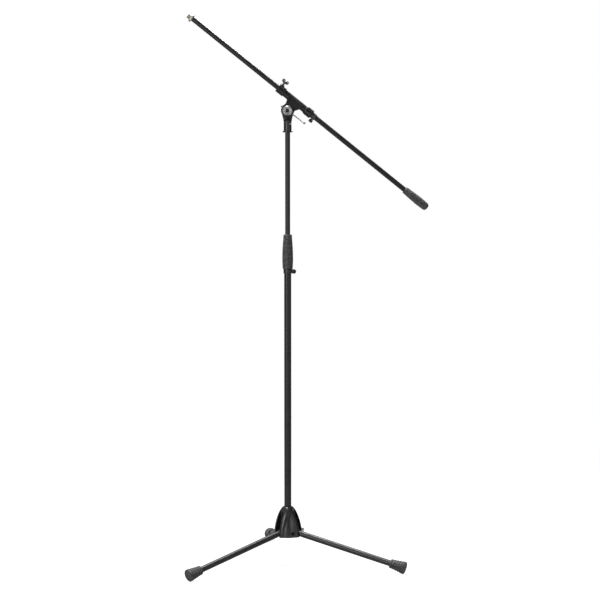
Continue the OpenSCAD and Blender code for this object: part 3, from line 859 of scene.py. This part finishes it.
def pivot_nut_field(x, y, z):
    """A hexagon nut, its outer corners chamfered."""
    rho = np.hypot(x, y)
    body = keep(hexagon(x, y, NUT_CORNER), np.maximum(NUT_LOW - z, z - NUT_HIGH), 0.4)
    body = np.maximum(body, (rho - NUT_ROUND + np.maximum(NUT_LOW + 0.9 - z, 0) * 1.7) / 1.9)
    return cut(body, rho - PIN_BORE, 0.4)


nut = skin("pivot_hex_nut", pivot_nut_field, (-9, -9, NUT_LOW - 1), (9, 9, NUT_HIGH + 1), 0.4,
           PIVOT_Z)
stands_for(nut, "pivot_nut")


# ---------------------------------------------------------------- boom bracket, sleeve and clamps

SLEEVE_A, SLEEVE_B = along("boom_bracket", BOOM, 0)
SLEEVE_R, SLEEVE_BORE = 10, 8.6
TILT = math.asin(-joint_axis("boom_slide").z)
LIMITS = [math.radians(q) for q in JOINTS["boom_tilt"]["range_deg"]]


def neck_outline(x, z):
    """Side outline of the bracket's neck, from the pivot disc up to the sleeve."""
    widths = [(-60, 14), (-BOOM_OFF, 14), (-22.5, 15.5), (-10, 22), (-4, 23), (4, 23)]
    half = np.interp(z, [w[0] for w in widths], [w[1] for w in widths])
    shift = np.interp(z, [-22.5, -10], [0, 1.5])
    return np.maximum((np.abs(x - shift) - half) / 1.12, np.maximum(-BOOM_OFF - z, z - 2))


def bracket_field(x, y, z):
    """The sleeve with its neck and two ears, cut clear of the tongue at both ends of the tilt."""
    sleeve = rod(y, z, x, SLEEVE_R, SLEEVE_A, SLEEVE_B, 0.7)
    disc = np.hypot(x, z + BOOM_OFF) - DISC_R
    plate = keep(join(disc, neck_outline(x, z), 4.0), np.abs(y) - EAR_OUT, 1.4)
    body = join(sleeve, plate, 2.5)
    body = np.maximum(body, np.maximum(np.abs(y) - EAR_OUT, np.maximum(x - SLEEVE_B, SLEEVE_A - x)))
    gap = z + BOOM_OFF
    for q in LIMITS:
        c, s = math.cos(TILT + q), math.sin(TILT + q)
        u, v = c * x - s * (z + BOOM_OFF), s * x + c * (z + BOOM_OFF)
        gap = np.minimum(gap, tongue(u, v, 0.8))
    body = cut(body, np.maximum(gap, np.abs(y) - EAR_IN), 0.8)
    body = cut(body, np.hypot(y, z) - SLEEVE_BORE, 0.4)
    return cut(body, np.hypot(x, z + BOOM_OFF) - PIN_BORE, 0.4)


bracket = skin("boom_cradle", bracket_field, (SLEEVE_A - 1, -13, -BOOM_OFF - DISC_R - 1),
               (SLEEVE_B + 1, 13, 12), 0.8, BOOM)
stands_for(bracket, "boom_bracket")

COLLAR_A, COLLAR_B = along("front_collar", BOOM, 0)
WING_S = ((BOOM.inverted() @ joint_at("wing_screw_turn")) / MM).x
FRONT_R, FRONT_BOSS_R, FRONT_SCREW_R = 12.2, 6, 2.6


def front_collar_field(x, y, z):
    """A ring round the sleeve with a boss for the wing screw."""
    ring = rod(y, z, x, FRONT_R, COLLAR_A, COLLAR_B, 1.3)
    boss = rod(x - WING_S, y, z, FRONT_BOSS_R, 5, 15, 0.7)
    body = cut(join(ring, boss, 2.6), np.hypot(y, z) - SLEEVE_BORE, 0.4)
    return cut(body, np.maximum(np.hypot(x - WING_S, y) - FRONT_SCREW_R, -z), 0.3)


front = skin("front_clamp", front_collar_field, (COLLAR_A - 1, -13.5, -13.5),
             (COLLAR_B + 1, 13.5, 17), 0.6, BOOM)
stands_for(front, "front_collar")


LOBE_X, LOBE_Z, LOBE_R, LOBE_THICK = 5.7, 25.6, 5.2, 1.6
DISH_X, DISH_Z, DISH_R = 5.9, 25.8, 3.9


def wing_field(x, y, z):
    """A wing screw with two dished lobes."""
    stem = rod(x, y, z, 2.5, SLEEVE_BORE + 1.8, 20, 0.3)
    neck = rod(x, y, z, 3.6, 17, 25, 0.8)
    lobe = keep(np.hypot(np.abs(x) - LOBE_X, z - LOBE_Z) - LOBE_R, np.abs(y) - LOBE_THICK, 1.1)
    far = np.hypot(np.abs(x) - DISH_X, z - DISH_Z)
    dish = np.hypot(far, (np.abs(y) - 4.6) * 1.1) - DISH_R
    return join(join(cut(lobe, dish, 0.6), neck, 1.8), stem, 0.8)


wing_frame = BOOM @ Matrix.Translation((WING_S * MM, 0, 0))
wing_low, wing_high = along("wing_screw", wing_frame, 2)
wing = skin("wing_thumb", wing_field, (-13, -6, wing_low - 1), (13, 6, wing_high + 1), 0.4,
            wing_frame)
stands_for(wing, "wing_screw")


def rear_collar():
    """Bulged clamp collar at the sleeve's tail end, with a band of flutes."""
    z0, z1 = reach("rear_collar", BOOM_Z)
    r = 12.6
    mid = (z0 + z1) / 2
    outline = [(SLEEVE_BORE, mid), (SLEEVE_BORE, z0), (r - 1.6, z0), (r - 0.4, z0 + 3.5),
               (r, z0 + 8), (r, z1 - 4), (r - 0.8, z1), (SLEEVE_BORE, z1), (SLEEVE_BORE, mid)]
    ring = lathe("rear_clamp", soften(outline, 0.8)[:-1], BOOM_Z, 144,
                 fluted(30, 0.3, z0 + 8, z1 - 4), closed=True)
    stands_for(ring, "rear_collar")


rear_collar()
ring_for("tail_ring", "end_ring", BOOM_Z, END_RING_R, BOOM_R + 0.2, 0.8)


# ---------------------------------------------------------------- boom ends

def thread_adaptor():
    """Hollow bush with a 5/8 inch, 27 per inch thread in front of a knurled flange."""
    z0, z1 = reach("thread_adaptor", BOOM_Z)
    face = z1 - 6.5  # the flange's front
    r, bore, flange, pitch, depth = 7.94, 4.7, 12, 25.4 / 27, 0.5
    segments, steps, knurls = 240, 8, 40
    angles = np.arange(segments) * 2 * math.pi / segments
    knurl = 0.3 * (0.5 - 0.5 * np.cos(knurls * angles))
    rings = [(bore, z1), (flange - 1.2, z1), (flange - 0.4, z1 - 0.3)]
    rings += [(flange - knurl, z1 - 0.9), (flange - knurl, face + 0.9)]
    rings += [(flange - 0.4, face + 0.3), (flange - 1.2, face), (r + 0.6, face)]
    rings += [(r - depth, face - 0.2)]
    levels = int((face - 0.4 - z0) / pitch * steps)
    for z in np.linspace(face - 0.4, z0, levels + 1):
        phase = ((z - z0) / pitch - angles / (2 * math.pi)) % 1
        tooth = np.clip(1.25 * (1 - np.abs(2 * phase - 1)) - 0.12, 0, 1)
        lead = min(1, (z - z0) / 1.2) * min(1, (face - z) / 1.2)
        rings.append((r - depth * (1 - tooth * lead) - 0.5 * max(0, 1 - (z - z0) / 0.8), z))
    rings += [(bore + 0.5, z0), (bore, z0 + 0.5), (bore, (z0 + z1) / 2)]
    points, faces = [], []
    for radius, z in rings:
        radii = np.broadcast_to(radius, segments)
        points.extend(zip(radii * np.cos(angles), radii * np.sin(angles), np.full(segments, z)))
    for k in range(len(rings)):
        for i in range(segments):
            n = (i + 1) % segments
            a, b = k * segments, (k + 1) % len(rings) * segments
            faces.append((a + i, b + i, b + n, a + n))
    stands_for(new_mesh("tip_thread", points, faces, BOOM_Z), "thread_adaptor")


thread_adaptor()

WEIGHT_LOW, WEIGHT_TOP = reach("counterweight_grip", BOOM_Z)
WEIGHT_KNOTS = [(9.4, 0), (10.2, 3), (11, 14), (11.7, 27), (12.1, 37), (12.5, 47), (12.4, 57),
                (11.9, 67), (11.3, 74), (9.2, 78.5), (6, 81)]
CORE_R = 9
CLOSED = 0.02  # a bore this small stands for none


def counterweight():
    """Rubber grip over the counterweight, closed by a shallow dome."""
    tail, core = reach("boom_tube", BOOM_Z)[1], reach("counterweight_core", BOOM_Z)[1]
    bore = [(BOOM_R, WEIGHT_LOW), (BOOM_R, tail), (CORE_R, tail), (CORE_R, core), (CLOSED, core),
            (CLOSED, WEIGHT_TOP)]
    relief("weight_rubber", "counterweight_grip", BOOM_Z,
           smooth_profile([(r - INSET, WEIGHT_LOW + z) for r, z in WEIGHT_KNOTS]),
           WEIGHT_LOW, WEIGHT_TOP, bore, rows=17, count=13, height=0.55, spot=2.0)


counterweight()


# ---------------------------------------------------------------- stage, lights and camera

WHITE = 1.0
FLOOR_GLOW, FLOOR_BOUNCE, BACKDROP, STUDIO = 0.94, 0.3, 0.45, 0.05
FLOOR_RADIUS, FLOOR_DROP = 60, 0.0005  # just below the feet
FLOOR_MATT = (0.16, 0.16, 0.16)
FADE_FROM, FADE_TO = 0.7, 2.2  # the floor turns plain white between these distances
BACKDROP_FROM, BACKDROP_TO = 0.3, 0.8  # how squarely behind the stand the backdrop lies

CAMERA_PITCH = math.radians(5.7)
CAMERA_AIM = (0.0345, 0, 0.7548)
CAMERA_DISTANCE = 6.182
CAMERA_LENS, CAMERA_SENSOR = 132.16, 36


def seen_or_felt(tree, seen, felt):
    """A value that is one thing to the camera and another to the light that falls on the stand."""
    path = tree.nodes.new("ShaderNodeLightPath")
    pick = tree.nodes.new("ShaderNodeMapRange")
    pick.inputs["To Min"].default_value = felt
    pick.inputs["To Max"].default_value = seen
    tree.links.new(path.outputs["Is Camera Ray"], pick.inputs["Value"])
    return pick.outputs["Result"]


def stage_floor():
    """A pale floor: a faint matt part takes the contact shadows, and its glow reads as paper."""
    bpy.ops.mesh.primitive_circle_add(vertices=96, radius=FLOOR_RADIUS, fill_type="NGON",
                                      location=(0, 0, -FLOOR_DROP))
    floor = bpy.context.object
    floor.name = "floor"
    material = bpy.data.materials.new("floor_white")
    material.use_nodes = True
    tree = material.node_tree
    tree.nodes.remove(tree.nodes["Principled BSDF"])
    matt = tree.nodes.new("ShaderNodeBsdfDiffuse")
    matt.inputs["Color"].default_value = colour(FLOOR_MATT)
    glow = tree.nodes.new("ShaderNodeEmission")
    tree.links.new(seen_or_felt(tree, FLOOR_GLOW, FLOOR_BOUNCE), glow.inputs["Strength"])
    both = tree.nodes.new("ShaderNodeAddShader")
    tree.links.new(matt.outputs["BSDF"], both.inputs[0])
    tree.links.new(glow.outputs["Emission"], both.inputs[1])
    far = tree.nodes.new("ShaderNodeEmission")
    coords = tree.nodes.new("ShaderNodeTexCoord")
    length = tree.nodes.new("ShaderNodeVectorMath")
    length.operation = "LENGTH"
    fade = tree.nodes.new("ShaderNodeMapRange")
    fade.inputs["From Min"].default_value = FADE_FROM
    fade.inputs["From Max"].default_value = FADE_TO
    mix = tree.nodes.new("ShaderNodeMixShader")
    tree.links.new(coords.outputs["Object"], length.inputs[0])
    tree.links.new(length.outputs["Value"], fade.inputs["Value"])
    tree.links.new(fade.outputs["Result"], mix.inputs["Fac"])
    tree.links.new(both.outputs["Shader"], mix.inputs[1])
    tree.links.new(seen_or_felt(tree, WHITE, FLOOR_BOUNCE), far.inputs["Strength"])
    tree.links.new(far.outputs["Emission"], mix.inputs[2])
    tree.links.new(mix.outputs["Shader"], tree.nodes["Material Output"].inputs["Surface"])
    floor.data.materials.append(material)


def stage_world():
    """White to the camera; to the stand, a lit backdrop behind it and a dim studio elsewhere."""
    world = bpy.data.worlds.new("studio")
    bpy.context.scene.world = world
    world.use_nodes = True
    tree = world.node_tree
    back = tree.nodes["Background"]
    coords = tree.nodes.new("ShaderNodeTexCoord")
    split = tree.nodes.new("ShaderNodeSeparateXYZ")
    ramp = tree.nodes.new("ShaderNodeMapRange")
    ramp.inputs["From Min"].default_value = BACKDROP_FROM
    ramp.inputs["From Max"].default_value = BACKDROP_TO
    ramp.inputs["To Min"].default_value = STUDIO
    ramp.inputs["To Max"].default_value = BACKDROP
    white = tree.nodes.new("ShaderNodeMath")
    white.operation = "MAXIMUM"
    tree.links.new(coords.outputs["Generated"], split.inputs["Vector"])
    tree.links.new(split.outputs["Y"], ramp.inputs["Value"])
    tree.links.new(ramp.outputs["Result"], white.inputs[0])
    tree.links.new(seen_or_felt(tree, WHITE, 0.0), white.inputs[1])
    tree.links.new(white.outputs["Value"], back.inputs["Strength"])
    back.inputs["Color"].default_value = colour((1, 1, 1))


def softbox(name, place, aim, size, power):
    """A rectangular lamp turned towards aim. size is its width and height in metres."""
    data = bpy.data.lights.new(name, "AREA")
    data.shape = "RECTANGLE"
    data.size, data.size_y = size
    data.energy = power
    lamp = bpy.data.objects.new(name, data)
    lamp.location = place
    lamp.rotation_euler = (Vector(aim) - Vector(place)).to_track_quat("-Z", "Y").to_euler()
    bpy.context.scene.collection.objects.link(lamp)


def stage_lights():
    softbox("key_left", (-1.6, -2.6, 1.1), (0, 0, 0.6), (1.1, 1.8), 44)
    softbox("fill_right", (1.9, -2.3, 1.1), (0, 0, 0.6), (1.0, 1.8), 12)
    softbox("overhead", (-0.3, 0.3, 2.9), (0.1, 0, 0.3), (0.6, 0.6), 130)
    softbox("boom_edge", (0.25, 0.8, 2.1), (-0.2, 0, 1.5), (0.3, 0.3), 16)


def stage_camera():
    data = bpy.data.cameras.new("camera")
    data.lens, data.sensor_width = CAMERA_LENS, CAMERA_SENSOR
    data.clip_start, data.clip_end = 0.1, 200
    camera = bpy.data.objects.new("camera", data)
    back = Vector((0, -math.cos(CAMERA_PITCH), math.sin(CAMERA_PITCH)))
    camera.location = Vector(CAMERA_AIM) + CAMERA_DISTANCE * back
    camera.rotation_euler = (math.pi / 2 - CAMERA_PITCH, 0, 0)
    bpy.context.scene.collection.objects.link(camera)
    bpy.context.scene.camera = camera


stage_floor()
stage_world()
stage_lights()
stage_camera()
bpy.context.scene.view_settings.view_transform = "Standard"
